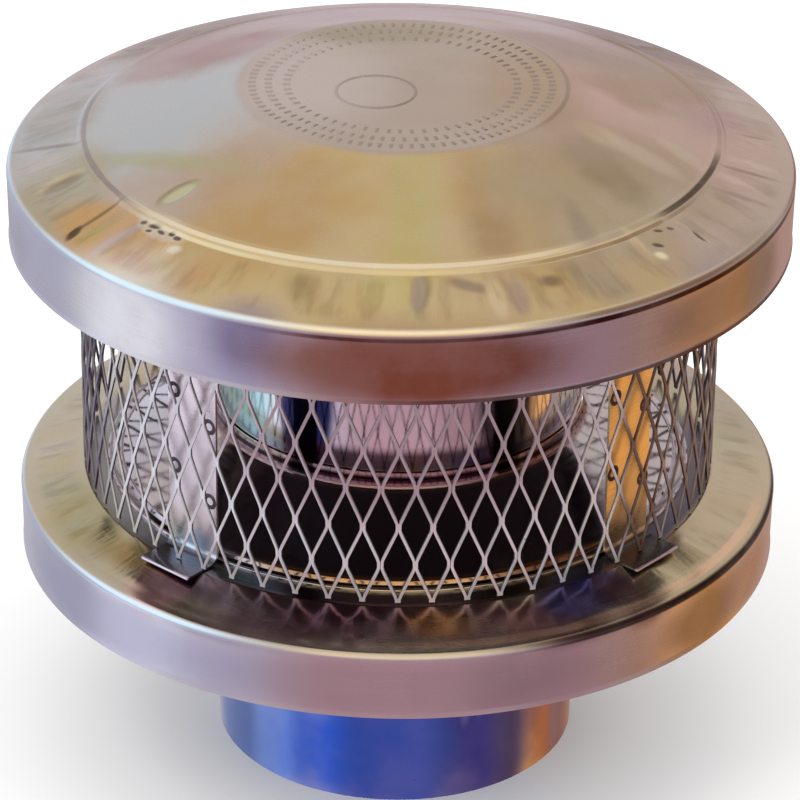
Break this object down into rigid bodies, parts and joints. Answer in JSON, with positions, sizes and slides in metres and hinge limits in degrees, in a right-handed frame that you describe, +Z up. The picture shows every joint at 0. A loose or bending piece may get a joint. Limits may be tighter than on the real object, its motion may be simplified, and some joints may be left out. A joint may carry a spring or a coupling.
{
  "type": "ventilation cap",
  "caption": "Round-top chimney cap with an expanded metal spark screen between a spun roof and a spun base with a slip-in flue spigot.",
  "frame": {"origin": "on the axis at the bottom edge of the flue tube", "axes": "+Z up along the flue's axis, -Y towards the front"},
  "size_m": [0.32, 0.32, 0.2934],
  "materials": {
    "roof_steel": "spun stainless sheet, satin with faint spinning marks",
    "base_steel": "spun stainless sheet, satin",
    "polished_steel": "bright stainless sheet",
    "tube_steel": "bright rolled stainless sheet",
    "screen_steel": "raw expanded stainless metal",
    "leg_steel": "bent stainless strap"
  },
  "bodies": {
    "root": {"top_cap": "roof_steel", "base_plate": "base_steel", "flue_cone": "polished_steel", "flue_tube": "tube_steel", "spark_screen": "screen_steel", "leg_front_right": "leg_steel", "leg_back_right": "leg_steel", "leg_back_left": "leg_steel", "leg_front_left": "leg_steel"}
  },
  "joints": []
}
